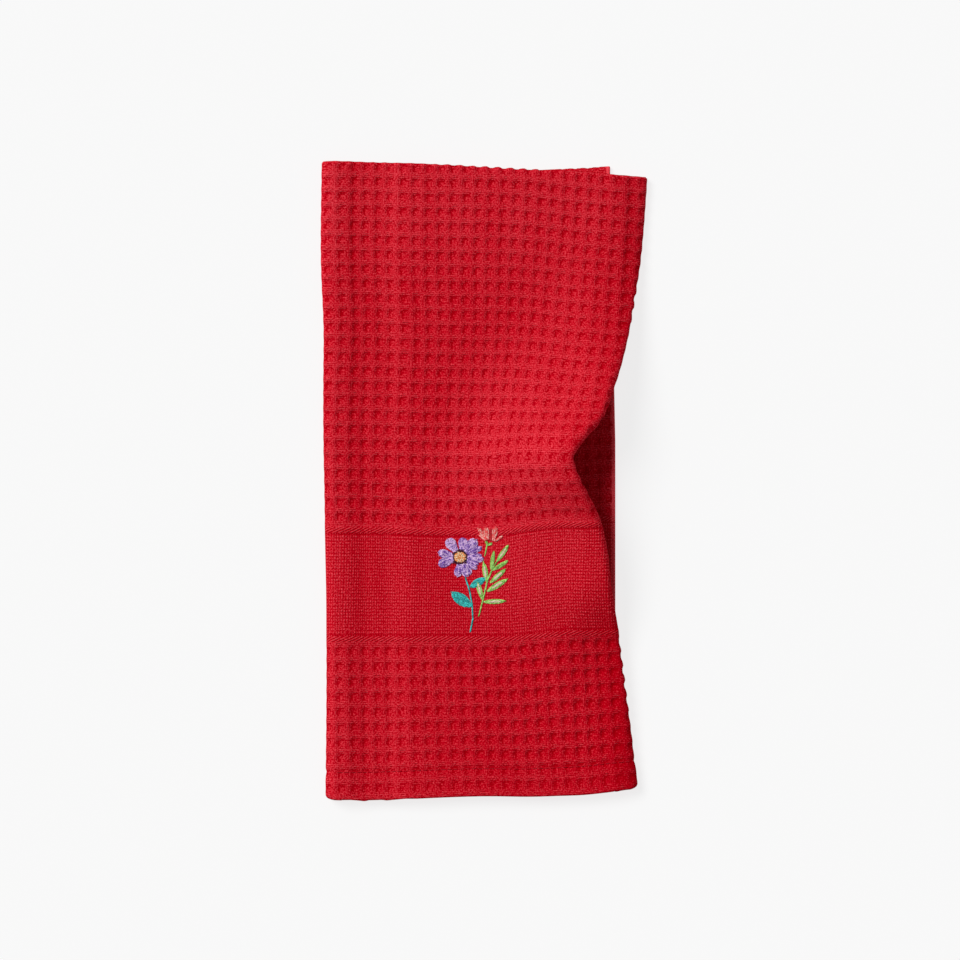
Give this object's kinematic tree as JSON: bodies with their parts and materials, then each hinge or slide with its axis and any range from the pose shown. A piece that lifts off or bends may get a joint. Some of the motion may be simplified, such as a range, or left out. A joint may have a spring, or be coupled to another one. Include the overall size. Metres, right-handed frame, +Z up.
{
  "type": "folded waffle-weave kitchen towel",
  "caption": "Red waffle-weave cotton kitchen towel with a plain embroidered band, folded in half and then in three, lying flat with the middle of its right fold raised in a wave.",
  "frame": {"origin": "centre of the folded towel's outline on the surface it lies on", "axes": "+Z up, out of the face that shows; +Y along the folded length, from the hem to the half fold; +X to the right, where the right fold is raised"},
  "size_m": [0.1824, 0.3574, 0.0472],
  "materials": {
    "towel_cloth": "deep red waffle-weave cotton, matt"
  },
  "bodies": {
    "root": {"towel_cloth": "towel_cloth"}
  },
  "joints": []
}
